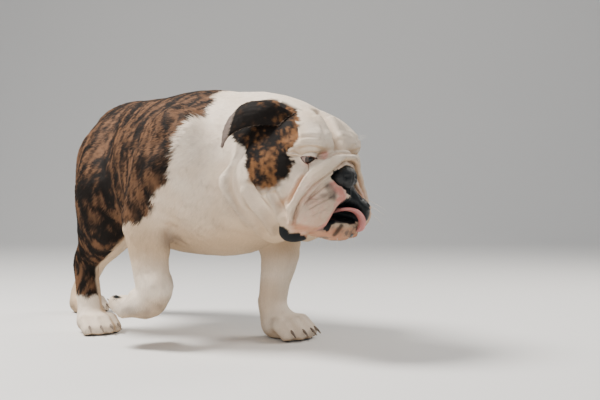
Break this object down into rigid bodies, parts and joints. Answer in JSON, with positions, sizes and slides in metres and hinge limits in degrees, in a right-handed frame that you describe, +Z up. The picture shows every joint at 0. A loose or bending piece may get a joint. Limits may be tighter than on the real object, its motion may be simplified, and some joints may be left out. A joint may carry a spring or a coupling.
{
  "type": "english bulldog",
  "caption": "Still, life-size english bulldog stepping forward with one forepaw lifted, head low and turned a little, tongue out at the side.",
  "frame": {"origin": "middle of the bounding box's foot, on the floor that the paws stand on", "axes": "+X forward along the body, +Y to the dog's left, +Z up"},
  "size_m": [0.7052, 0.3116, 0.3742],
  "materials": {
    "white_coat": "short warm white coat",
    "brindle_coat": "short brown coat with dark brindle streaks",
    "nose_leather": "moist black nose leather",
    "tongue_flesh": "moist pink",
    "eye": "wet dark brown",
    "claw": "dark horn"
  },
  "bodies": {
    "root": {"head": "white_coat", "neck": "white_coat", "foreleg_left": "white_coat", "jaw": "white_coat", "paw_fore_left": "white_coat", "paw_fore_right": "white_coat", "paw_hind_left": "white_coat", "paw_hind_right": "white_coat", "torso": "brindle_coat", "tail": "brindle_coat", "foreleg_right": "brindle_coat", "hindleg_left": "brindle_coat", "hindleg_right": "brindle_coat", "ear_left": "brindle_coat", "ear_right": "brindle_coat", "nose": "nose_leather", "tongue": "tongue_flesh", "eye_left": "eye", "eye_right": "eye", "claw_fore_left_1": "claw", "claw_fore_left_2": "claw", "claw_fore_left_3": "claw", "claw_fore_left_4": "claw", "claw_fore_right_1": "claw", "claw_fore_right_2": "claw", "claw_fore_right_3": "claw", "claw_fore_right_4": "claw", "claw_hind_left_1": "claw", "claw_hind_left_2": "claw", "claw_hind_left_3": "claw", "claw_hind_left_4": "claw", "claw_hind_right_1": "claw", "claw_hind_right_2": "claw", "claw_hind_right_3": "claw", "claw_hind_right_4": "claw"}
  },
  "joints": []
}
